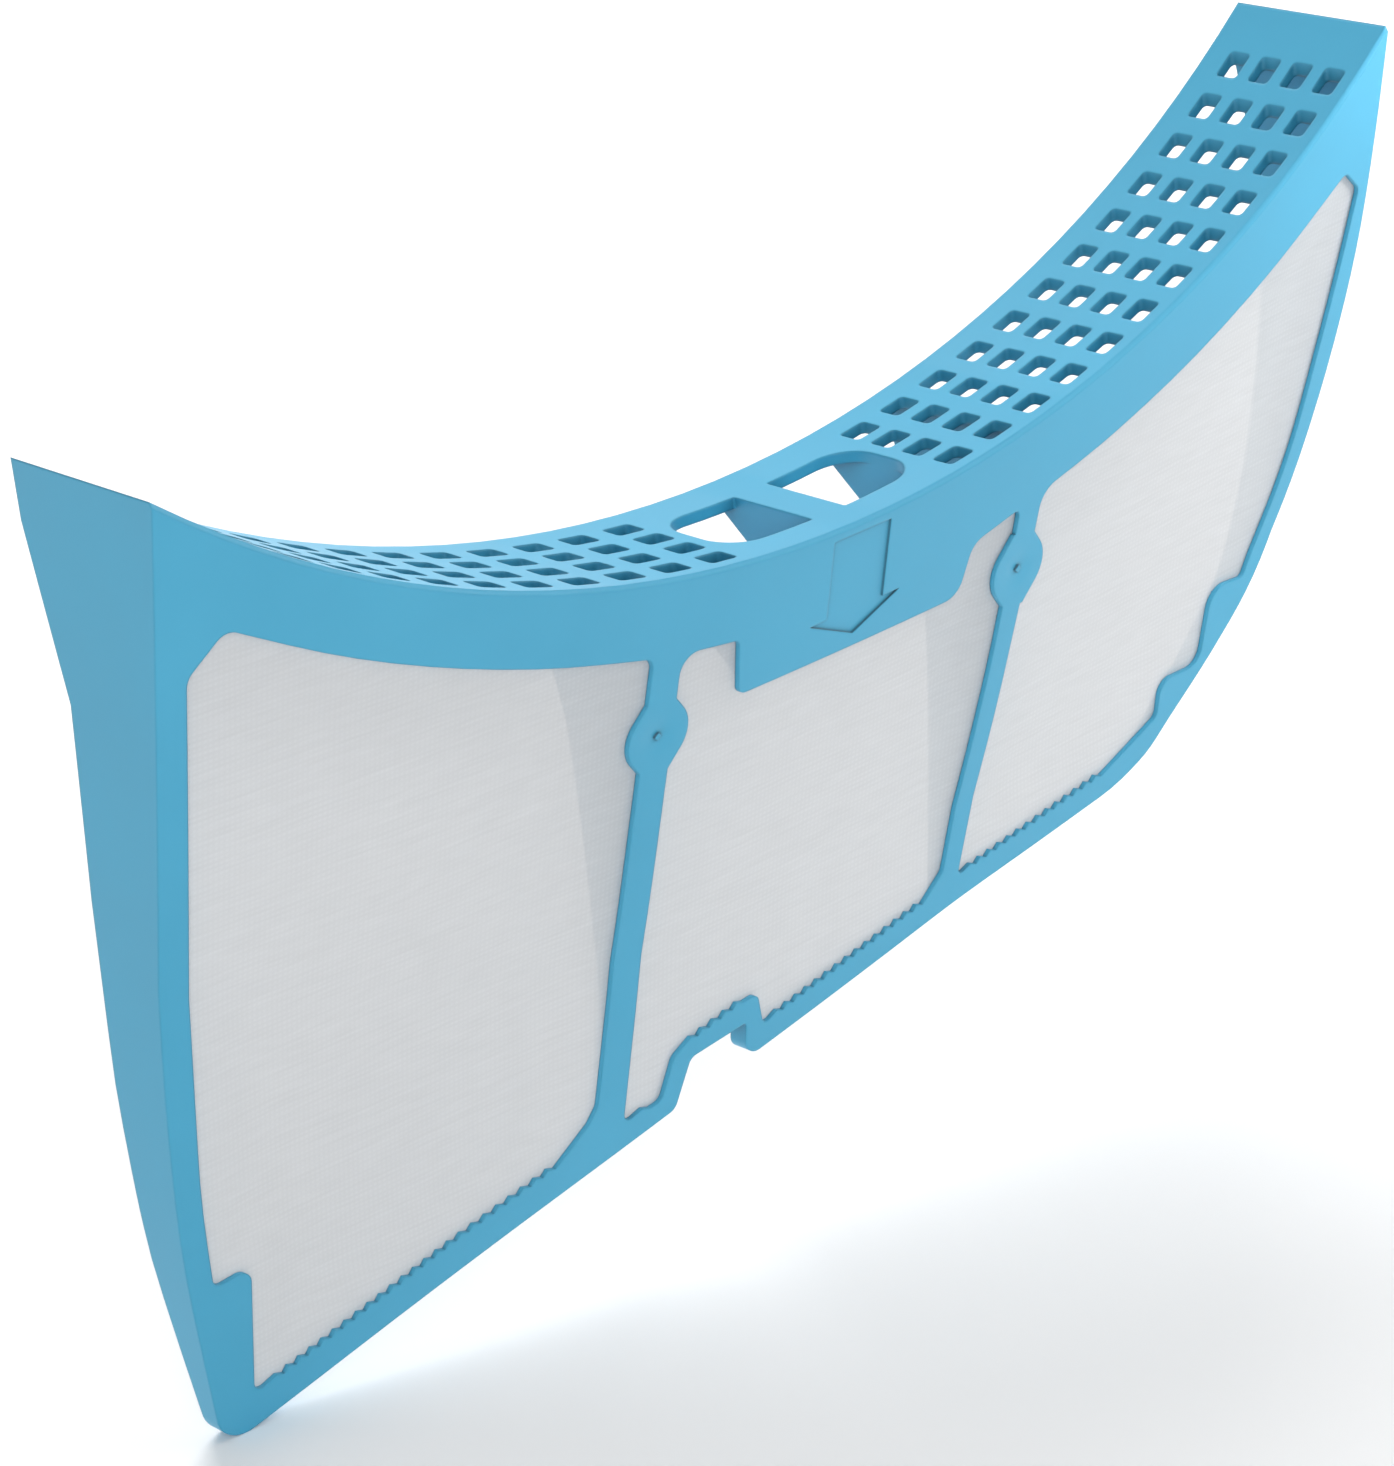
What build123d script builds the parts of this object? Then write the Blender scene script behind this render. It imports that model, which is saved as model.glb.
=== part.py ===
from build123d import *
import os
from math import sin, cos, tan, radians, sqrt, hypot, acos

os.makedirs("parts", exist_ok=True)

# Lint filter of a tumble dryer. Millimetres, +Z up, +Y to the back, +X to the right seen from the front.
# The origin is the lowest point of the strip's upper surface, at the strip's front edge.

# Overall form
RIM_RADIUS = 275.0        # radius of the drum rim that the strip follows
HALF_WIDTH = 173.0        # half the width across the two end walls
STRIP_WIDTH = 45.0        # front to back width of the strip
STRIP_THICK = 2.6         # thickness of the strip
BODY_DROP = 160.0         # depth of the lower left corner below the strip's lowest point
WALL = 1.2                # thickness of the front wall
SKIRT = 2.2               # thickness of the end walls and of the bottom flange
LEAN_TOP = 0.272          # how far the front wall goes back for each mm down, below the strip
LEAN_LOW = 0.180          # and the same further down
KNEE = 90.0               # drop at which the one lean passes into the other
EDGE_CUT = 0.9            # broken edge along the strip's front
FLANGE_DEPTH = 5.0        # front to back depth of the bottom flange

# Rear edges of the end walls and webs
WAIST_DROP = 40.0         # the rear edges step forward over this drop below the strip
WAIST_IN = 6.5            # and by this much
LEFT_MEET = 186.0         # drop at which the left end wall has tapered to the flange depth
LEFT_BELLY = 3.0          # its rear edge bows back by this much halfway down
WEB_MEET = 112.0          # drop at which the webs and the right end wall have done so

# Windows and ribs
BAND_LEFT = 16.7          # front band above the left window
BAND_RIGHT = 19.3         # front band above the right window
END_BORDER = 6.6          # frame left standing beside the left window
FOOT_BORDER = 7.3         # frame left standing under the left window
FOOT_SLIM = 5.6           # and under the other two
RIB_WIDTH = 5.8           # width of the two ribs between the windows
RIB_EXTRA = 2.0           # the left rib is this much wider below its boss
RIB_X = 52.6              # distance of the ribs from the middle, at the gate bosses
BOSS_DROP = 31.5          # height of the gate bosses below the origin
BOSS_RADIUS = 8.0         # gate boss on each rib
BOSS_REACH = 9.4          # the rib starts to widen this far from the boss's middle
DISH_RADIUS = 5.2         # shallow dish in the gate boss
DISH_DEPTH = 0.6
NIB_HALF = 1.0            # gate nib standing in the dish
WEB_THICK = 2.0           # web behind each rib
TAB_DROP = 30.2           # lower edge of the middle tab
TAB_HALF = 32.2           # half width of the middle tab
TOOTH_PITCH = 3.1         # teeth along the lower window edges
TOOTH_RISE = 1.1

# Mesh panels, welded to the back of the front wall
MESH_THICK = 0.4
MESH_GRIP = 1.5           # mesh reaches this far past the window all round
MESH_CLEAR = 0.25         # gap between a panel's edge and the walls that stand behind the frame

# Grid holes in the strip
ROWS = 12
COLUMNS = 4
HOLE_LENGTH = 7.2         # along the strip
HOLE_WIDTH = 6.0          # across the strip
ROW_STEP = 2.571          # degrees of the rim from row to row
LAST_ROW = 7.22           # degrees from the middle to the innermost row
COLUMN_STEP = 9.49
GRID_FRONT = 4.0          # front edge of the strip to the first column

# Finger holes and their gussets
BAR_HALF = 4.7            # half width of the bar between the finger holes
FINGER_LENGTH = 23.0
FINGER_FRONT = 9.6        # front edge of the strip to the finger holes
FINGER_WIDTH = 24.4
FINGER_ROUND = 9.0
GUSSET_THICK = 1.8
GUSSET_BACK = 5.5         # the gussets reach this far behind the finger holes

# Sunk arrow on the tab
ARROW_DEPTH = 0.5
ARROW_TOP = 2.6           # upper end below the origin
ARROW_NECK = 9.1          # end of the shaft above the tab's lower edge
ARROW_TIP = 3.0           # point above the tab's lower edge
ARROW_X = 1.2
ARROW_SHAFT = 8.2         # half width of the shaft
ARROW_HEAD = 13.2         # half width of the head

AXIS = Axis((0, 0, RIM_RADIUS), (0, 1, 0))
SWEEP = 60.0
FAR = BODY_DROP + 75.0

# Sideways and downward scale of the layout below, which is written for the sizes given here
SX = HALF_WIDTH / 173.0
SZ = BODY_DROP / 160.0


def front(h):
    return LEAN_TOP * min(h, KNEE) + LEAN_LOW * max(h - KNEE, 0.0)


def vec(x, z):
    return Vector(x, 0, z)


def rounded(points, y0=-20.0, y1=100.0):
    # prism along Y from corner points (x, z, radius); radius -1 makes a smooth bend
    n = len(points)
    ends = []
    for i in range(n):
        p = vec(points[i][0], points[i][1])
        a = vec(points[i - 1][0], points[i - 1][1]) - p
        b = vec(points[(i + 1) % n][0], points[(i + 1) % n][1]) - p
        la = a.length
        lb = b.length
        ua = a * (1 / la)
        ub = b * (1 / lb)
        half = acos(max(-1.0, min(1.0, ua.dot(ub)))) / 2
        room = 0.47 * min(la, lb)
        r = points[i][2]
        if r < 0:
            t = room
        else:
            t = min(room, r / tan(half))
        if t < 0.02 or half > radians(89.8):
            ends.append((p, None, p))
            continue
        bis = (ua + ub).normalized()
        rr = t * tan(half)
        mid = p + bis * (rr / sin(half) - rr)
        ends.append((p + ua * t, mid, p + ub * t))
    shift = Vector(0, y0, 0)
    edges = []
    for i in range(n):
        s, m, e = ends[i]
        if m is not None:
            edges.append(Edge.make_three_point_arc(s + shift, m + shift, e + shift))
        nxt = ends[(i + 1) % n][0]
        if (nxt - e).length > 0.001:
            edges.append(Edge.make_line(e + shift, nxt + shift))
    return Solid.extrude(Face(Wire(edges)), Vector(0, y1 - y0, 0))


def area(points):
    n = len(points)
    return sum(points[i][0] * points[(i + 1) % n][1] - points[(i + 1) % n][0] * points[i][1]
               for i in range(n)) / 2


def moved_in(points, d):
    # the same outline with every side moved inward by d (outward when d is negative)
    n = len(points)
    s = 1.0 if area(points) > 0 else -1.0
    out = []
    for i in range(n):
        x, z, r = points[i]
        px, pz = points[i - 1][0], points[i - 1][1]
        qx, qz = points[(i + 1) % n][0], points[(i + 1) % n][1]
        l1 = hypot(x - px, z - pz)
        l2 = hypot(qx - x, qz - z)
        n1 = (-(z - pz) / l1 * s, (x - px) / l1 * s)
        n2 = (-(qz - z) / l2 * s, (qx - x) / l2 * s)
        k = d / (1 + n1[0] * n2[0] + n1[1] * n2[1])
        turn = (n1[0] * n2[1] - n1[1] * n2[0]) * s
        radius = r
        if r >= 0:
            radius = max(0.0, r - d if turn > 0 else r + d)
        out.append((x + (n1[0] + n2[0]) * k, z + (n1[1] + n2[1]) * k, radius))
    return out


def spun(edges):
    # ring sector about the drum axis from a closed profile drawn in the middle plane
    face = Face(Wire(edges)).rotate(AXIS, -SWEEP)
    return revolve(face, AXIS, 2 * SWEEP)


def at(h, y):
    return Vector(0, y, -h)


def front_line(h0, h1, back):
    # profile of the front wall from drop h0 to drop h1, moved back by the given amount
    drops = [h0] + ([KNEE] if h0 < KNEE < h1 else []) + [h1]
    return [at(h, front(h) + back) for h in drops]


def ring(points):
    return [Edge.make_line(points[i], points[(i + 1) % len(points)]) for i in range(len(points))]


def layer(near, far, h0, h1=FAR):
    # sheet that follows the front wall, from near to far mm behind its front face
    return spun(ring(front_line(h0, h1, near) + front_line(h0, h1, far)[::-1]))


def wedge(meet, belly=0.0):
    # all that lies between the front face and the rear edges, from the strip's upper surface outward;
    # the rear edge runs from the waist to the flange depth, which it reaches at the drop given by meet
    waist = STRIP_WIDTH - WAIST_IN
    rear = [at(WAIST_DROP, waist), at(WAIST_DROP / 4, STRIP_WIDTH), at(0, STRIP_WIDTH), at(0, EDGE_CUT)]
    low = front(meet) + FLANGE_DEPTH
    bow = []
    if belly:
        bow = [at(meet + (WAIST_DROP - meet) * f, low + (waist - low) * f + belly * 4 * f * (1 - f))
               for f in (0.25, 0.5, 0.75)]
    return spun(ring(front_line(EDGE_CUT, FAR, 0.0) + front_line(meet, FAR, FLANGE_DEPTH)[::-1] + bow + rear))


# Outline seen from the front, clockwise from the upper left; the notch in its foot keeps to the left rib
LEFT = -HALF_WIDTH
RIGHT = HALF_WIDTH
TOP = HALF_WIDTH
RIB_L = -RIB_X
RIB_R = RIB_X + 0.9
FOOT_LEFT = (-163.6 * SX, -160.9 * SZ)
FOOT_BEND = (-102.5 * SX, -143.8 * SZ)
FOOT_STEP = (RIB_L + 10.6, -130.0 * SZ)
FOOT_NEXT = (RIB_L + 31.2, -126.2 * SZ)
FOOT_MID = (RIB_R - 9.0, -112.3 * SZ)
FOOT_RIGHT = (98.0 * SX, -104.4 * SZ)
outline = [
    (LEFT, TOP, 0), (RIGHT, TOP, 0),
    (RIGHT, 34 * SZ, -1), (171.6 * SX, 8 * SZ, -1), (166 * SX, -19 * SZ, -1), (157 * SX, -46 * SZ, -1),
    (144.6 * SX, -68.6 * SZ, -1), (129.6 * SX, -82.8 * SZ, -1), (115.5 * SX, -94.0 * SZ, -1),
    (109.0 * SX, -99.8 * SZ, -1), (FOOT_RIGHT[0], FOOT_RIGHT[1], -1), (FOOT_MID[0], FOOT_MID[1], 300),
    (FOOT_NEXT[0], FOOT_NEXT[1], 4.0), (FOOT_NEXT[0], -116.6 * SZ, 0.8), (RIB_L + 15.0, -118.6 * SZ, 2.5),
    (FOOT_STEP[0], FOOT_STEP[1], 3.0), (FOOT_BEND[0], FOOT_BEND[1], -1), (FOOT_LEFT[0], FOOT_LEFT[1], 7.0),
    (-167.2 * SX, -138 * SZ, -1), (-171.2 * SX, -110 * SZ, -1), (LEFT, -76 * SZ, -1),
]


# Point on the curve a given drop below the strip
def under(x, drop):
    r = RIM_RADIUS + drop
    return (x, RIM_RADIUS - sqrt(r * r - x * x), -1)


def line_z(x, a, b):
    return a[1] + (b[1] - a[1]) * (x - a[0]) / (b[0] - a[0])


def foot(x, a, b, border):
    # point standing the given border above a stretch of the bottom edge
    rise = border * hypot(b[0] - a[0], b[1] - a[1]) / abs(b[0] - a[0])
    return (x, line_z(x, a, b) + rise)


SIDE = -1.0


def toothed(a, b):
    # teeth standing on the straight window edge from a to b
    length = hypot(b[0] - a[0], b[1] - a[1])
    ux = (b[0] - a[0]) / length
    uz = (b[1] - a[1]) / length
    count = max(1, int(length / TOOTH_PITCH))
    step = length / count
    pts = []
    for i in range(count):
        for along, rise in ((0.1, 0.0), (0.65, 1.0)):
            d = (i + along) * step
            up = rise * TOOTH_RISE
            pts.append((a[0] + ux * d - uz * up * SIDE, a[1] + uz * d + ux * up * SIDE, 0.0))
    return pts


HALF_RIB = RIB_WIDTH / 2

# Middle lines of the ribs, down to the foot
rib_left = [(RIB_L, -14 * SZ), (RIB_L + 0.2, -45 * SZ), (RIB_L - 2.1, -83 * SZ), (RIB_L - 6.6, -124 * SZ)]
rib_right = [(RIB_R + 0.9, -14 * SZ), (RIB_R - 1.4, -46 * SZ), (RIB_R - 5.4, -72 * SZ),
             (RIB_R - 12.2, -106 * SZ)]


def rib_side(line, off):
    return [(x + off, z, -1) for x, z in line]


# Left window, clockwise from the upper left
wl = LEFT + END_BORDER
wl_a = foot(-150.5 * SX, FOOT_LEFT, FOOT_BEND, FOOT_BORDER)
wl_m = foot(FOOT_BEND[0], FOOT_LEFT, FOOT_BEND, FOOT_BORDER)
wl_b = foot(RIB_L - 22.9, FOOT_BEND, FOOT_STEP, FOOT_BORDER)
rl = [(RIB_L - HALF_RIB, -14 * SZ, -1)] + rib_side(rib_left[1:], -HALF_RIB - RIB_EXTRA)
left_top = [under(-158.0 * SX, BAND_LEFT), under(-133 * SX, BAND_LEFT), under(-108 * SX, BAND_LEFT),
            under(-82 * SX, BAND_LEFT + 0.5), under(rl[0][0], BAND_LEFT + 1.2)]
left_top[0] = (left_top[0][0], left_top[0][1], 3.5)
left_top[-1] = (left_top[-1][0], left_top[-1][1], 3.0)
left_head = [(wl, 21.8 * SZ, 4.5)] + left_top
left_rib = [rl[1], rl[2], (rl[3][0], -119.5 * SZ, 2.5), (RIB_L - 13.9, -123.0 * SZ, 2.0)]
left_tail = [(wl + 10.9 * SX, wl_a[1] - 1.0, 3.0), (wl + 11.5 * SX, -118.8 * SZ, 3.0),
             (wl + 2.3 * SX, -119.9 * SZ, 2.2), (wl + 0.3 * SX, -97 * SZ, -1)]
left_foot = [(wl_b[0], wl_b[1], 2.0), (wl_m[0], wl_m[1], 0.0), (wl_a[0], wl_a[1], 1.0)]
left_plain = left_head + left_rib + left_foot + left_tail
left_cut = left_head + left_rib + toothed(wl_b, wl_m) + toothed(wl_m, wl_a) + left_tail

# Middle window
rr = rib_side(rib_left, HALF_RIB)
ml = rib_side(rib_right, -HALF_RIB)
wm_a = foot(RIB_R - 20.5, FOOT_NEXT, FOOT_MID, FOOT_SLIM)
wm_b = foot(RIB_L + 39.6, FOOT_NEXT, FOOT_MID, FOOT_SLIM)
wn_a = (RIB_L + 30.6, -110.8 * SZ)
wn_b = (RIB_L + 14.0, -114.6 * SZ)
wk_a = (RIB_L + 3.8, -126.4 * SZ)
wk_b = (RIB_L, -127.0 * SZ)
mid_head = [(rr[0][0] + 1.8, -14.2 * SZ, 4.5), (-TAB_HALF, -16.6 * SZ, 1.6),
            (-TAB_HALF + 1.2, -TAB_DROP, 2.2),
            (TAB_HALF + 1.6, -TAB_DROP - 0.2, 5.0), (TAB_HALF + 4.8, -18.6 * SZ, 5.0),
            (ml[0][0], -15.2 * SZ, 1.4)]
mid_rib = [ml[1], ml[2], (ml[3][0] + 0.6, -103.0 * SZ, 2.0)]
mid_gap = [(wm_b[0] - 3.2, wm_b[1] - 1.0, 1.6), (RIB_L + 34.4, -110.4 * SZ, 2.4)]
mid_knee = [(RIB_L + 10.0, -116.4 * SZ, 3.0), (RIB_L + 6.6, -126.0 * SZ, 2.6)]
mid_tail = [(rr[3][0] - 0.6, -127.6 * SZ, 2.0), rr[2], rr[1]]
mid_plain = (mid_head + mid_rib + [(wm_a[0], wm_a[1], 2.0), (wm_b[0], wm_b[1], 1.0)] + mid_gap
             + [(wn_a[0], wn_a[1], 1.0), (wn_b[0], wn_b[1], 1.0)] + mid_knee + mid_tail)
mid_cut = (mid_head + mid_rib + toothed(wm_a, wm_b) + mid_gap + toothed(wn_a, wn_b) + mid_knee
           + toothed(wk_a, wk_b) + mid_tail)

# Right window
mr = rib_side(rib_right, HALF_RIB)
wr_a = foot(92.5 * SX, FOOT_MID, FOOT_RIGHT, FOOT_SLIM)
wr_b = (mr[3][0] + 3.0, foot(mr[3][0] + 3.0, FOOT_NEXT, FOOT_MID, FOOT_SLIM)[1])
right_top = [under(mr[0][0] + 1.3, BAND_RIGHT), under(78 * SX, BAND_RIGHT), under(105 * SX, BAND_RIGHT),
             under(133 * SX, BAND_RIGHT), under(162.0 * SX, BAND_RIGHT)]
right_top[0] = (right_top[0][0], right_top[0][1], 6.0)
right_top[-1] = (right_top[-1][0], right_top[-1][1], 2.5)
right_side = [(168.6 * SX, 23.6 * SZ, 2.5), (164.2 * SX, 2 * SZ, -1), (154.0 * SX, -40 * SZ, -1),
              (140.6 * SX, -65.9 * SZ, 1.8), (129.2 * SX, -64.6 * SZ, 7.0), (126.0 * SX, -83.2 * SZ, 4.5),
              (112.2 * SX, -82.5 * SZ, 4.0), (111.4 * SX, -91.4 * SZ, 2.5)]
right_tail = [(mr[3][0] - 0.4, wr_b[1] - 0.6, 1.4), mr[2], mr[1]]
right_plain = right_top + right_side + [(wr_a[0], wr_a[1], 1.0), (wr_b[0], wr_b[1], 1.0)] + right_tail
right_cut = right_top + right_side + toothed(wr_a, wr_b) + right_tail


def pin(x, z, r, y0=-20.0, y1=100.0):
    return Solid.make_cylinder(r, y1 - y0, Plane((x, y0, z), z_dir=(0, 1, 0)))


bosses = [(RIB_L, -BOSS_DROP - 0.6), (RIB_R, -BOSS_DROP + 0.6)]


def boss(x, z, less):
    # round boss on a rib, with straight flanks that run from the rib's sides to touch the round
    r = BOSS_RADIUS - less
    w = HALF_RIB - less
    reach = BOSS_REACH - less
    away = hypot(w, reach)
    turn = acos(reach / away) + acos(r / away)
    tx = r * sin(turn)
    tz = r * cos(turn)
    flank = [(x + w, z + reach, 0), (x + tx, z + tz, 0), (x + tx, z - tz, 0), (x + w, z - reach, 0)]
    other = [(2 * x - a, b, c) for a, b, c in reversed(flank)]
    return pin(x, z, r) + rounded(flank + other)


def window(points, grow=0.0):
    body = rounded(moved_in(points, -grow) if grow else points)
    for x, z in bosses:
        body = body - boss(x, z, grow)
    return body


# Shell: front wall, strip, end walls and bottom flange, open at the back
full = rounded(outline)
inner = rounded(moved_in(outline, SKIRT))
split = LEFT + 4 * SKIRT
half_left = Solid.make_box(2 * FAR, 400, 4 * FAR, Plane((split - 2 * FAR, -50, -2 * FAR)))
half_right = Solid.make_box(3 * FAR, 400, 4 * FAR, Plane((split, -50, -2 * FAR)))
outer = (wedge(LEFT_MEET, LEFT_BELLY) & half_left) + (wedge(WEB_MEET) & half_right)
outer = outer & full
cavity = layer(WALL, 120.0, STRIP_THICK) & inner
shell = outer - cavity


# Webs behind the ribs, bent as the ribs are
def web(line, spare=0.0):
    half = WEB_THICK / 2 + spare
    bends = [(x, z, -1) for x, z in line]
    over = (line[0][0], HALF_WIDTH / 8, 0)
    past = (2 * line[-1][0] - line[-2][0], 2 * line[-1][1] - line[-2][1], 0)
    path = [over] + bends[1:] + [past]
    return rounded([(x + half, z, r) for x, z, r in path] + [(x - half, z, r) for x, z, r in reversed(path)])


behind = wedge(WEB_MEET) & layer(WALL / 2, 120.0, STRIP_THICK / 2) & rounded(moved_in(outline, SKIRT / 2))
webs = [behind & web(rib_left), behind & web(rib_right)]


# Gussets under the finger holes
def gusset(x):
    t = TAB_DROP - MESH_GRIP - 2 * MESH_CLEAR
    y_low = front(t) + WALL
    y_high = FINGER_FRONT + FINGER_WIDTH + GUSSET_BACK
    tri = Wire([Edge.make_line(Vector(x, -5, 5), Vector(x, y_high, 5)),
                Edge.make_line(Vector(x, y_high, 5), Vector(x, y_high, -STRIP_THICK)),
                Edge.make_line(Vector(x, y_high, -STRIP_THICK), Vector(x, y_low, -t)),
                Edge.make_line(Vector(x, y_low, -t), Vector(x, -5, -t)),
                Edge.make_line(Vector(x, -5, -t), Vector(x, -5, 5))])
    return Solid.extrude(Face(tri), Vector(GUSSET_THICK, 0, 0)) & behind


edge_out = BAR_HALF + FINGER_LENGTH
gussets = [gusset(BAR_HALF - GUSSET_THICK), gusset(-BAR_HALF), gusset(edge_out),
           gusset(-edge_out - GUSSET_THICK)]

frame = shell
for piece in webs + gussets:
    frame = frame + piece


# Openings in the strip, all cut straight down
def drilled(corners, z0, z1):
    # prism along Z from corner points (x, y, radius)
    return rounded(corners, -z1, -z0).rotate(Axis.X, -90)


cuts = []
for side in (-1, 1):
    for row in range(ROWS):
        ang = radians(LAST_ROW + row * ROW_STEP)
        x = side * RIM_RADIUS * sin(ang)
        z = RIM_RADIUS - RIM_RADIUS * cos(ang)
        half = HOLE_LENGTH * cos(ang) / 2
        reach = half * tan(ang) + 1.0
        for col in range(COLUMNS):
            y0 = GRID_FRONT + col * COLUMN_STEP
            y1 = y0 + HOLE_WIDTH
            square = [(x - half, y0, 0), (x + half, y0, 0), (x + half, y1, 0), (x - half, y1, 0)]
            cuts.append(drilled(square, z - STRIP_THICK / cos(ang) - reach, z + reach))
    bar = side * BAR_HALF
    end = side * (BAR_HALF + FINGER_LENGTH)
    y0 = FINGER_FRONT
    y1 = FINGER_FRONT + FINGER_WIDTH
    grip = [(bar, y0, 0.6), (end, y0, FINGER_ROUND), (end, y1, FINGER_ROUND), (bar, y1, 0.6)]
    cuts.append(drilled(grip, -STRIP_THICK - 0.01, 8.0))
frame = frame - cuts

# Windows, mesh panels, gate bosses and arrow
mesh_zone = layer(WALL, WALL + MESH_THICK, STRIP_THICK) & rounded(moved_in(outline, SKIRT + MESH_CLEAR))
mesh_zone = mesh_zone - web(rib_left, MESH_CLEAR) - web(rib_right, MESH_CLEAR)
panels = []
for plain, cut in ((left_plain, left_cut), (mid_plain, mid_cut), (right_plain, right_cut)):
    frame = frame - window(cut)
    panels.append(window([(x, z, 0) for x, z, r in plain], MESH_GRIP) & mesh_zone)


# Shallow cone square to the front wall, sunk into each boss
def dish(x, z):
    r = hypot(x, RIM_RADIUS - z)
    out = Vector(LEAN_TOP * x / r, -1, LEAN_TOP * (z - RIM_RADIUS) / r).normalized()
    mouth = Vector(x, front(r - RIM_RADIUS), z) + out * DISH_DEPTH
    return Solid.make_cone(2 * DISH_RADIUS, 0.3, 2 * DISH_DEPTH, Plane(mouth, z_dir=-out))


for x, z in bosses:
    a = NIB_HALF
    nib = rounded([(x - a, z, 0), (x, z + a, 0), (x + a, z, 0), (x, z - a, 0)])
    frame = frame - (dish(x, z) - nib)

neck_z = -TAB_DROP + ARROW_NECK
arrow = rounded([(ARROW_X - ARROW_SHAFT, -ARROW_TOP, 0), (ARROW_X + ARROW_SHAFT, -ARROW_TOP, 0),
                 (ARROW_X + ARROW_SHAFT, neck_z, 0), (ARROW_X + ARROW_HEAD, neck_z, 0),
                 (ARROW_X, -TAB_DROP + ARROW_TIP, 0),
                 (ARROW_X - ARROW_HEAD, neck_z, 0), (ARROW_X - ARROW_SHAFT, neck_z, 0)])
frame = frame - (arrow & layer(-1.0, ARROW_DEPTH, EDGE_CUT))

names = ("mesh_left", "mesh_middle", "mesh_right")
for name, panel in zip(names, panels):
    panel.label = name
    export_step(panel, "parts/" + name + ".step")
frame.label = "filter_frame"
export_step(frame, "parts/filter_frame.step")
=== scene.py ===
import math

import bmesh
import bpy
from mathutils import Matrix, Vector, noise
from mathutils.bvhtree import BVHTree
from mathutils.geometry import delaunay_2d_cdt
from mathutils.kdtree import KDTree


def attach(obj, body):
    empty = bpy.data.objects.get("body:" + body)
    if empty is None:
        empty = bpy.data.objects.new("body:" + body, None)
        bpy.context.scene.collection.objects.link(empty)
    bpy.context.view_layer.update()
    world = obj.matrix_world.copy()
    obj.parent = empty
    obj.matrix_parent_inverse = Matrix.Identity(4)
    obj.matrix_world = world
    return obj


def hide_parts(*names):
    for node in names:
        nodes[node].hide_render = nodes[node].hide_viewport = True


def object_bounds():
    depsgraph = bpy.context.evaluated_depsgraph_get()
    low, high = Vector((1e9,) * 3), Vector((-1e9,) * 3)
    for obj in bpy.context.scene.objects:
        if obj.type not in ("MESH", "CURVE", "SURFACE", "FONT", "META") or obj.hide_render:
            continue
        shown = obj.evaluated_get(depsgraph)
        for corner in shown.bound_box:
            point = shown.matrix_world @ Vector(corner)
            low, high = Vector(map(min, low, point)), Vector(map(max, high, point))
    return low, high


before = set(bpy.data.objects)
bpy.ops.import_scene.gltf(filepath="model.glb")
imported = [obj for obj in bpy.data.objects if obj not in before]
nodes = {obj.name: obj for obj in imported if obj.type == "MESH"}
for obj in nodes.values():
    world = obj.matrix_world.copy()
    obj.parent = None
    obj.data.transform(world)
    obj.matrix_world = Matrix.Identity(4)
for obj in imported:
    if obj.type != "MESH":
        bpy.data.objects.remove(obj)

cad_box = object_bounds()
scene = bpy.context.scene
scene.view_settings.view_transform = "Standard"

MM = 0.001

# Moulded frame, in millimetres
RIM_RADIUS = 275          # radius of the strip's upper surface
STRIP_MIDDLE = 276.3      # the same for the middle of the strip's thickness
STRIP_HALF = 1.5          # a little over half the strip's thickness
GRID_START = 29           # the grid holes lie between these two distances from the middle
GRID_END = 172
GRID_FRONT = 3            # and between these two distances from the strip's front edge
GRID_BACK = 41
SEAM_TURN = 0.001         # two triangles of one flat wall turn by less than this, in radians
WALL_TIP = 0.01           # the normal of an upright wall rises by less than this
EDGE_UPRIGHT = 0.98       # an upright edge rises by more than this share of its length
CORNER_RISE = 2           # a hole's corner is at least this high
CORNER_TURN = 1.2         # and turns by more than this, in radians
CORNER_ROUND = 1.4        # rounding of the grid holes' corners
CORNER_SHARE = 0.45       # the most of a hole's side that one rounding takes
CORNER_STEPS = 4          # faces in each rounding
SOFT_TURN = 32            # edges that turn by less than this, in degrees, are shaded smooth

# Gauze: shares of one
WEAVE_SHARE = 0.2         # how much the weave shows beside the threads' uneven thickness
THROUGH_SHARE = 0.14      # how much of the light goes on through the threads

# Gauze panels, in millimetres
THREAD_DRAWN = 1.1843     # distance of the threads as drawn
SLUB_LENGTH = 9           # a thread keeps its thickness for about this long
SLUB_WIDTH = 0.9          # and differs from the threads this far off
RIM_STEP = 2.2            # distance of the points along a panel's outline
CELL = 2.0                # distance of the points inside it
CELL_CLEAR = 1.2          # the inner points keep this far from the outline
SEAT = 0.12               # the gauze lies this far behind the panel's front side
WELD = 2.5                # it is held flat this far in from its edge
EASE_OVER = 14            # and takes up its slack over this distance
BELLY = 0.8               # slack in the middle: a shallow belly to the back,
DENTS = 1.3               # broad dents of this depth and this width and height,
DENT_WIDTH = 48
DENT_HEIGHT = 75
FOLDS = 0.35              # and faint folds of this depth, width and height,
FOLD_WIDTH = 22
FOLD_HEIGHT = 90
FOLD_LEAN = 0.35          # which lean sideways by this much for each mm up

# Floor, in metres
FLOOR_Z = cad_box[0][2]
FLOOR_REACH = 6.0         # half the floor's width
FADE_FROM = 0.75          # the shadow lies within this distance of the part
FADE_TO = 1.9             # and past this distance the paper is pure white
LIFT_NEAR = 0.03          # light that the paper itself adds, near and far
LIFT_FAR = 0.9


def linear(code):
    """An sRGB hex colour as linear red, green, blue and alpha."""
    out = []
    for i in (1, 3, 5):
        v = int(code[i:i + 2], 16) / 255
        out.append(v / 12.92 if v <= 0.04045 else ((v + 0.055) / 1.055) ** 2.4)
    return (*out, 1.0)


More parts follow.
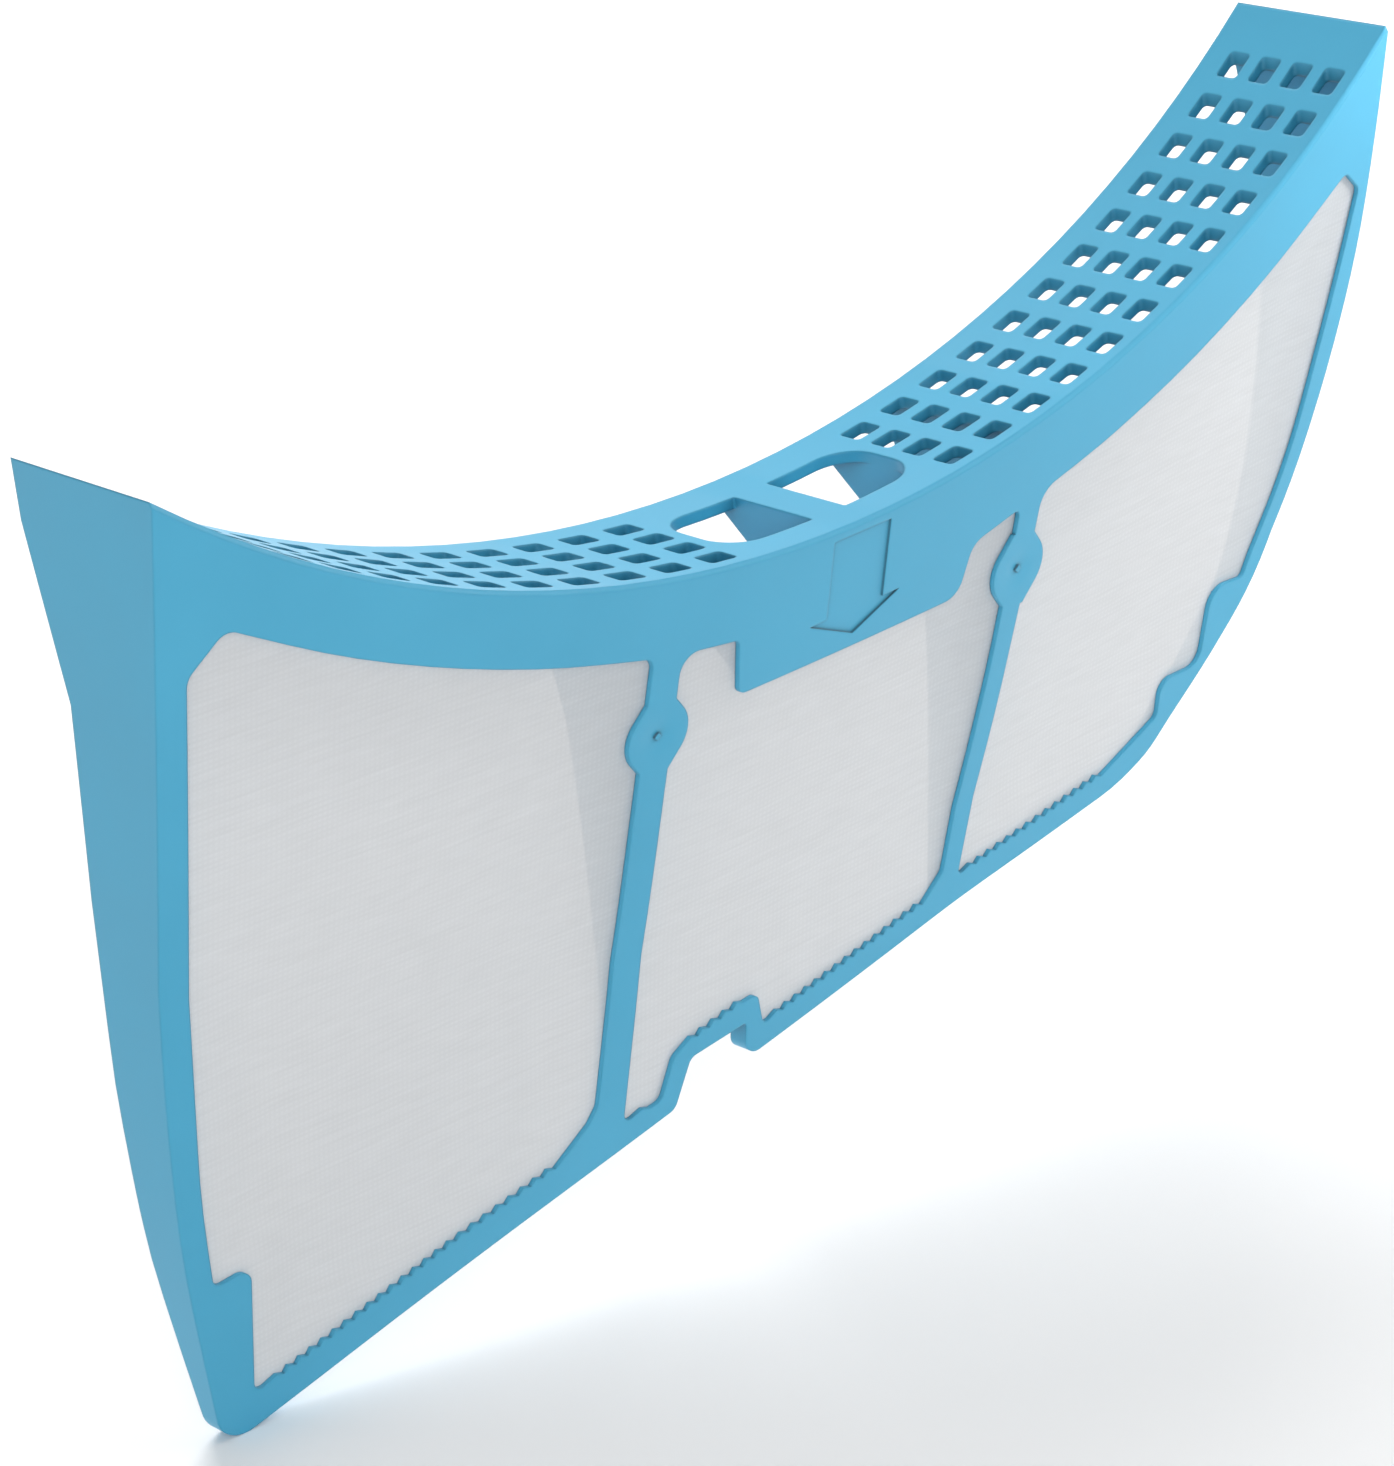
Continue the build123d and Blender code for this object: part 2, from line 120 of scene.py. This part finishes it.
def per_mm(size):
    """Texture scale, in repeats a metre, of a pattern that repeats every so many millimetres."""
    return 1 / (size * MM)


def add(tree, kind, settings=None, values=None, links=None):
    """One shader node with its settings, its socket values and the sockets that feed it."""
    made = tree.nodes.new(kind)
    for name, value in (settings or {}).items():
        setattr(made, name, value)
    for name, value in (values or {}).items():
        made.inputs[name].default_value = value
    for name, source in (links or {}).items():
        tree.links.new(source, made.inputs[name])
    return made


def new_material(name):
    """An empty material and its node tree."""
    made = bpy.data.materials.new(name)
    made.use_nodes = True
    made.node_tree.nodes.clear()
    return made, made.node_tree


def eye_rays(tree):
    """1 for what the camera sees directly, through the gauze or in a reflection, and 0 for other light."""
    path = add(tree, "ShaderNodeLightPath")
    shown = add(
        tree, "ShaderNodeMath",
        settings={"operation": "MAXIMUM"},
        links={0: path.outputs["Is Camera Ray"], 1: path.outputs["Is Transmission Ray"]},
    )
    either = add(
        tree, "ShaderNodeMath",
        settings={"operation": "MAXIMUM"},
        links={0: shown.outputs["Value"], 1: path.outputs["Is Glossy Ray"]},
    )
    return either.outputs["Value"]


# Moulded polypropylene, tinted blue all through. It gives the eye an even satin colour with a broad soft
# shine, a very fine grain left by the mould and softly rounded edges. Painted shade darkens the colour in its
# holes, grooves and corners.
def moulded_polypropylene():
    material, tree = new_material("moulded_blue_polypropylene")
    place = add(tree, "ShaderNodeTexCoord").outputs["Object"]
    # the tint and the shine drift a little over about 45 mm
    cloud = add(
        tree, "ShaderNodeTexNoise",
        values={"Scale": per_mm(45), "Detail": 3.0, "Roughness": 0.55},
        links={"Vector": place},
    )
    tint = add(tree, "ShaderNodeValToRGB", links={"Fac": cloud.outputs["Fac"]})
    tint.color_ramp.elements[0].position = 0.3
    tint.color_ramp.elements[0].color = linear("#40A2C6")
    tint.color_ramp.elements[1].position = 0.7
    tint.color_ramp.elements[1].color = linear("#45A7CB")
    # painted shade: the blue is darkened inside holes, grooves and corners, where shade falls
    painted_crease_shade = add(
        tree, "ShaderNodeAmbientOcclusion",
        settings={"samples": 6, "only_local": True},
        values={"Distance": 8.0 * MM},
        links={"Color": tint.outputs["Color"]},
    )
    # the mould's grain is about 0.1 mm, drawn at 0.7 mm so that it shows
    grain = add(
        tree, "ShaderNodeTexNoise",
        values={"Scale": per_mm(0.7), "Detail": 2.0, "Roughness": 0.5},
        links={"Vector": place},
    )
    shine = add(
        tree, "ShaderNodeMapRange",
        values={"From Min": 0.3, "From Max": 0.7, "To Min": 0.38, "To Max": 0.46},
        links={"Value": cloud.outputs["Fac"]},
    )
    soft_edge = add(tree, "ShaderNodeBevel", settings={"samples": 6}, values={"Radius": 0.8 * MM})
    skin = add(
        tree, "ShaderNodeBump",
        values={"Strength": 0.10, "Distance": 0.03 * MM},
        links={"Height": grain.outputs["Fac"], "Normal": soft_edge.outputs["Normal"]},
    )
    shader = add(
        tree, "ShaderNodeBsdfPrincipled",
        values={"IOR": 1.49},
        links={
            "Base Color": painted_crease_shade.outputs["Color"],
            "Roughness": shine.outputs["Result"],
            "Normal": skin.outputs["Normal"],
        },
    )
    add(tree, "ShaderNodeOutputMaterial", links={"Surface": shader.outputs["BSDF"]})
    return material


# Woven polyester gauze, a plain weave of fine white threads. It gives the eye a silky grey-white veil with a
# faint grain along the threads. Light passes through it, so the blue plastic behind it shows as a soft tint.
def woven_polyester():
    material, tree = new_material("woven_polyester_gauze")
    place = add(tree, "ShaderNodeTexCoord").outputs["Object"]
    # threads lie about 0.3 mm apart, drawn about 1.2 mm apart so that they show
    # the wave node makes 20 / (2 pi) waves for each unit of its scale
    wave_scale = per_mm(THREAD_DRAWN) * 2 * math.pi / 20
    threads = []
    for way in ("X", "Z"):
        threads.append(add(
            tree, "ShaderNodeTexWave",
            settings={"bands_direction": way},
            values={"Scale": wave_scale, "Distortion": 0.8, "Detail": 1.0, "Detail Scale": 0.4},
            links={"Vector": place},
        ))
    weave = add(
        tree, "ShaderNodeMath",
        settings={"operation": "MULTIPLY"},
        links={0: threads[0].outputs["Fac"], 1: threads[1].outputs["Fac"]},
    )
    drawn = add(
        tree, "ShaderNodeMapping",
        settings={"vector_type": "POINT"},
        values={"Scale": (per_mm(SLUB_LENGTH), per_mm(SLUB_LENGTH), per_mm(SLUB_WIDTH))},
        links={"Vector": place},
    )
    slub = add(
        tree, "ShaderNodeTexNoise",
        values={"Scale": 1.0, "Detail": 1.0},
        links={"Vector": drawn.outputs["Vector"]},
    )
    grain = add(
        tree, "ShaderNodeMath",
        settings={"operation": "MULTIPLY_ADD"},
        values={1: WEAVE_SHARE},
        links={0: weave.outputs["Value"], 2: slub.outputs["Fac"]},
    )
    thread = add(tree, "ShaderNodeValToRGB", links={"Fac": grain.outputs["Value"]})
    thread.color_ramp.elements[0].position = 0.3
    thread.color_ramp.elements[0].color = linear("#C4C6C8")
    thread.color_ramp.elements[1].color = linear("#CCCED0")
    cover = add(
        tree, "ShaderNodeMapRange",
        values={"To Min": 0.91, "To Max": 0.95},
        links={"Value": weave.outputs["Value"]},
    )
    skin = add(
        tree, "ShaderNodeBsdfPrincipled",
        values={"Roughness": 0.7, "IOR": 1.57, "Sheen Weight": 0.1},
        links={"Base Color": thread.outputs["Color"], "Alpha": cover.outputs["Result"]},
    )
    through = add(tree, "ShaderNodeBsdfTranslucent", links={"Color": thread.outputs["Color"]})
    cloth = add(
        tree, "ShaderNodeMixShader",
        values={0: THROUGH_SHARE},
        links={1: skin.outputs["BSDF"], 2: through.outputs["BSDF"]},
    )
    add(tree, "ShaderNodeOutputMaterial", links={"Surface": cloth.outputs["Shader"]})
    return material


polypropylene = moulded_polypropylene()
gauze = woven_polyester()


def is_wall_seam(edge):
    """An edge inside one flat upright wall, where two of the solid's triangles meet."""
    upright = all(abs(f.normal.z) < WALL_TIP for f in edge.link_faces)
    return upright and edge.calc_face_angle(1) < SEAM_TURN


def is_hole_corner(edge):
    """An upright inner edge in one of the grid holes of the strip."""
    a, b = (v.co / MM for v in edge.verts)
    middle = (a + b) / 2
    rise = abs(a.z - b.z)
    inside = GRID_START < abs(middle.x) < GRID_END and GRID_FRONT < middle.y < GRID_BACK
    upright = rise > EDGE_UPRIGHT * (a - b).length and rise > CORNER_RISE
    near_strip = abs(math.hypot(middle.x, RIM_RADIUS - middle.z) - STRIP_MIDDLE) < STRIP_HALF
    return inside and upright and near_strip and edge.calc_face_angle(0) > CORNER_TURN


def round_corner(shape, edge):
    """Fill one upright corner of a hole with a quarter round."""
    top, low = sorted(edge.verts, key=lambda v: -v.co.z)
    rims = []
    for wall in edge.link_faces:
        pair = [next(e for e in wall.edges if e != edge and end in e.verts) for end in (top, low)]
        rims.append((wall, pair))
    room = min(e.calc_length() for _, pair in rims for e in pair)
    size = min(CORNER_ROUND * MM, CORNER_SHARE * room)
    ends = []
    for wall, pair in rims:
        cut = []
        for end, rim in zip((top, low), pair):
            cut.append(bmesh.utils.edge_split(rim, end, size / rim.calc_length())[1])
        bmesh.utils.face_split(wall, *cut)
        ends.append(cut)
    bmesh.ops.delete(shape, geom=list(edge.link_faces), context="FACES_ONLY")
    shape.edges.remove(edge)
    arcs = []
    for corner, (one, other) in zip((top, low), zip(*ends)):
        across = one.co - corner.co
        along = other.co - corner.co
        arc = [one]
        for i in range(1, CORNER_STEPS):
            turn = math.pi / 2 * i / CORNER_STEPS
            place = corner.co + across * (1 - math.sin(turn)) + along * (1 - math.cos(turn))
            arc.append(shape.verts.new(place))
        arc.append(other)
        shape.faces.new([corner] + arc)
        arcs.append(arc)
    for i in range(CORNER_STEPS):
        shape.faces.new((arcs[0][i], arcs[0][i + 1], arcs[1][i + 1], arcs[1][i]))


# The moulding is the solid, with the corners of the grid holes rounded as the mould leaves them.
def moulded_frame():
    shape = bmesh.new()
    shape.from_mesh(nodes["filter_frame"].data)
    bmesh.ops.remove_doubles(shape, verts=shape.verts, dist=0.001 * MM)
    seams = [e for e in shape.edges if is_wall_seam(e)]
    bmesh.ops.dissolve_edges(shape, edges=seams, use_verts=False)
    for edge in [e for e in shape.edges if is_hole_corner(e)]:
        round_corner(shape, edge)
    bmesh.ops.recalc_face_normals(shape, faces=shape.faces)
    for e in shape.edges:
        e.smooth = e.calc_face_angle(0) < math.radians(SOFT_TURN)
    for f in shape.faces:
        f.smooth = True
    mesh = bpy.data.meshes.new("moulded_frame")
    shape.to_mesh(mesh)
    shape.free()
    mesh.materials.append(polypropylene)
    made = bpy.data.objects.new("moulded_frame", mesh)
    scene.collection.objects.link(made)
    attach(made, "root")
    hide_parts("filter_frame")
    return made


moulded_frame()


def panel_outline(mesh):
    """The outline of a panel's front side, as a ring of points."""
    work = bmesh.new()
    work.from_mesh(mesh)
    bmesh.ops.remove_doubles(work, verts=work.verts, dist=0.005 * MM)
    work.normal_update()
    facing = {f for f in work.faces if f.normal.y < -0.5}
    follow = {}
    for e in work.edges:
        near = [f for f in e.link_faces if f in facing]
        if len(near) == 1:
            for corner in near[0].loops:
                if corner.edge == e:
                    follow[corner.vert] = corner.link_loop_next.vert
    start = next(iter(follow))
    ring, here = [start], follow[start]
    while here != start:
        ring.append(here)
        here = follow[here]
    points = [v.co.copy() for v in ring]
    work.free()
    return points


def gauze_panel(node, ripple):
    """A sheet of gauze cut to the panel's outline, with the slack that it has between its welded edges."""
    solid = nodes[node].data
    tree = BVHTree.FromPolygons(
        [v.co.copy() for v in solid.vertices], [tuple(p.vertices) for p in solid.polygons]
    )

    def on_panel(x, z):
        return tree.ray_cast((x, -1, z), (0, 1, 0))[0]

    rim = panel_outline(solid)
    fine = []
    for a, b in zip(rim, rim[1:] + rim[:1]):
        steps = max(1, round((b - a).length / (RIM_STEP * MM)))
        fine += [a.lerp(b, i / steps) for i in range(steps)]
    edge = KDTree(len(fine))
    for i, p in enumerate(fine):
        edge.insert((p.x, 0, p.z), i)
    edge.balance()

    flat = [Vector((p.x, p.z)) for p in fine]
    step = CELL * MM
    low = [min(p[i] for p in flat) for i in (0, 1)]
    high = [max(p[i] for p in flat) for i in (0, 1)]
    for i in range(int((high[0] - low[0]) / step) + 1):
        for j in range(int((high[1] - low[1]) / step) + 1):
            x = low[0] + (i + 0.5 * (j % 2)) * step
            z = low[1] + j * step
            if edge.find((x, 0, z))[2] > CELL_CLEAR * MM and on_panel(x, z):
                flat.append(Vector((x, z)))
    count = len(fine)
    border = [(i, (i + 1) % count) for i in range(count)]
    points, _, faces, *_ = delaunay_2d_cdt(flat, border, [list(range(count))], 1, 1e-7)

    placed = []
    for p in points:
        _, nearest, gap = edge.find((p.x, 0, p.y))
        hit = on_panel(p.x, p.y)
        if hit is None:
            hit = fine[nearest]
        ease = min(1, max(0, (gap - WELD * MM) / (EASE_OVER * MM)))
        ease = ease * ease * (3 - 2 * ease)
        slack = ease * ripple(p.x / MM, p.y / MM)
        placed.append((p.x, hit.y + SEAT * MM + slack * MM, p.y))
    made = bpy.data.meshes.new(node + "_gauze")
    made.from_pydata(placed, [], [tuple(f) for f in faces])
    made.update()
    made.polygons.foreach_set("use_smooth", [True] * len(made.polygons))
    made.materials.append(gauze)
    sheet = bpy.data.objects.new(node + "_gauze", made)
    scene.collection.objects.link(sheet)
    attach(sheet, "root")
    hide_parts(node)
    return sheet


def soft_waves(seed):
    """Slack of a panel in millimetres: a shallow belly to the back, broad dents and faint folds."""
    def ripple(x, z):
        dents = noise.noise(Vector((x / DENT_WIDTH, z / DENT_HEIGHT, seed)))
        folds = noise.noise(Vector(((x + FOLD_LEAN * z) / FOLD_WIDTH, z / FOLD_HEIGHT, seed + 9)))
        return BELLY + DENTS * dents + FOLDS * folds
    return ripple


gauze_panel("mesh_left", soft_waves(1.5))
gauze_panel("mesh_middle", soft_waves(4.5))
gauze_panel("mesh_right", soft_waves(7.5))


# White paper floor. It shows pure white to the eye, with the part's soft shadow.
def white_paper():
    material, tree = new_material("white_paper_floor")
    matt = add(tree, "ShaderNodeBsdfDiffuse", values={"Color": linear("#F7F7F7")})
    place = add(tree, "ShaderNodeTexCoord").outputs["Object"]
    away = add(tree, "ShaderNodeVectorMath", settings={"operation": "LENGTH"}, links={0: place})
    fade = add(
        tree, "ShaderNodeMapRange",
        settings={"interpolation_type": "SMOOTHSTEP"},
        values={"From Min": FADE_FROM, "From Max": FADE_TO, "To Min": LIFT_NEAR, "To Max": LIFT_FAR},
        links={"Value": away.outputs["Value"]},
    )
    lift = add(
        tree, "ShaderNodeMath",
        settings={"operation": "MULTIPLY"},
        links={0: eye_rays(tree), 1: fade.outputs["Result"]},
    )
    glow = add(
        tree, "ShaderNodeEmission",
        values={"Color": (1, 1, 1, 1)},
        links={"Strength": lift.outputs["Value"]},
    )
    both = add(tree, "ShaderNodeAddShader", links={0: matt.outputs["BSDF"], 1: glow.outputs["Emission"]})
    add(tree, "ShaderNodeOutputMaterial", links={"Surface": both.outputs["Shader"]})
    return material


paper = bpy.data.meshes.new("paper_floor")
around = ((-1, -1), (1, -1), (1, 1), (-1, 1))
paper.from_pydata([(x * FLOOR_REACH, y * FLOOR_REACH, FLOOR_Z) for x, y in around], [], [(0, 1, 2, 3)])
paper.materials.append(white_paper())
floor = bpy.data.objects.new("paper_floor", paper)
scene.collection.objects.link(floor)

# The room sheds an even soft light, and shows white to the eye.
world = bpy.data.worlds.new("studio")
scene.world = world
world.use_nodes = True
studio = world.node_tree
studio.nodes.clear()
room = add(studio, "ShaderNodeBackground", values={"Color": (1, 1, 1, 1), "Strength": 0.31})
white = add(studio, "ShaderNodeBackground", values={"Color": (1, 1, 1, 1), "Strength": 1.0})
backdrop = add(
    studio, "ShaderNodeMixShader",
    links={0: eye_rays(studio), 1: room.outputs["Background"], 2: white.outputs["Background"]},
)
add(studio, "ShaderNodeOutputWorld", links={"Surface": backdrop.outputs["Shader"]})


def soft_box(name, place, aim, size, watts):
    """A square lamp of so many metres and watts, aimed at a point."""
    lamp = bpy.data.lights.new(name, "AREA")
    lamp.shape = "SQUARE"
    lamp.size = size
    lamp.energy = watts
    box = bpy.data.objects.new(name, lamp)
    scene.collection.objects.link(box)
    box.location = place
    box.rotation_euler = (Vector(aim) - Vector(place)).to_track_quat("-Z", "Y").to_euler()
    return box


# The back lamp makes the shadow on the floor in front of the part. Its mirror image would wash out the strip,
# so it doesn't show in reflections. The others light the strip, the front, the arrow and the right end.
back_lamp = soft_box("lamp_back", (1.46, 1.97, 1.66), (0, 0.03, -0.1), 2.0, 84)
back_lamp.visible_glossy = False
soft_box("lamp_over", (0.1, 0.05, 2.85), (0.02, 0.03, 0), 2.2, 15)
soft_box("lamp_front", (-1.53, -1.84, 1.01), (0, 0, -0.05), 1.4, 28)
soft_box("lamp_side", (1.25, -1.6, 1.25), (0, 0, -0.05), 0.7, 5)
soft_box("lamp_right", (0.245, -0.08, 0.1), (0.17, 0.01, 0.04), 0.08, 0.2)

# The camera stands to the front left of the part and a little above it.
azimuth, elevation, roll = (math.radians(a) for a in (-39.85, 22.954, -6.517))
target = Vector((-31.76, 22.5, -41.92)) * MM
distance = 1040.09
film = 36
focal_share = 4940.48 / 1466      # focal length as a share of the picture's longer side
back = Vector((
    math.sin(azimuth) * math.cos(elevation),
    -math.cos(azimuth) * math.cos(elevation),
    math.sin(elevation),
))
side = Vector((0, 0, 1)).cross(back).normalized()
rise = back.cross(side)
turned = math.cos(roll) * side + math.sin(roll) * rise
upright = -math.sin(roll) * side + math.cos(roll) * rise
lens = bpy.data.cameras.new("camera")
lens.sensor_width = film
lens.lens = focal_share * film
camera = bpy.data.objects.new("camera", lens)
scene.collection.objects.link(camera)
pose = Matrix((turned, upright, back)).transposed().to_4x4()
pose.translation = target + back * distance * MM
camera.matrix_world = pose
scene.camera = camera
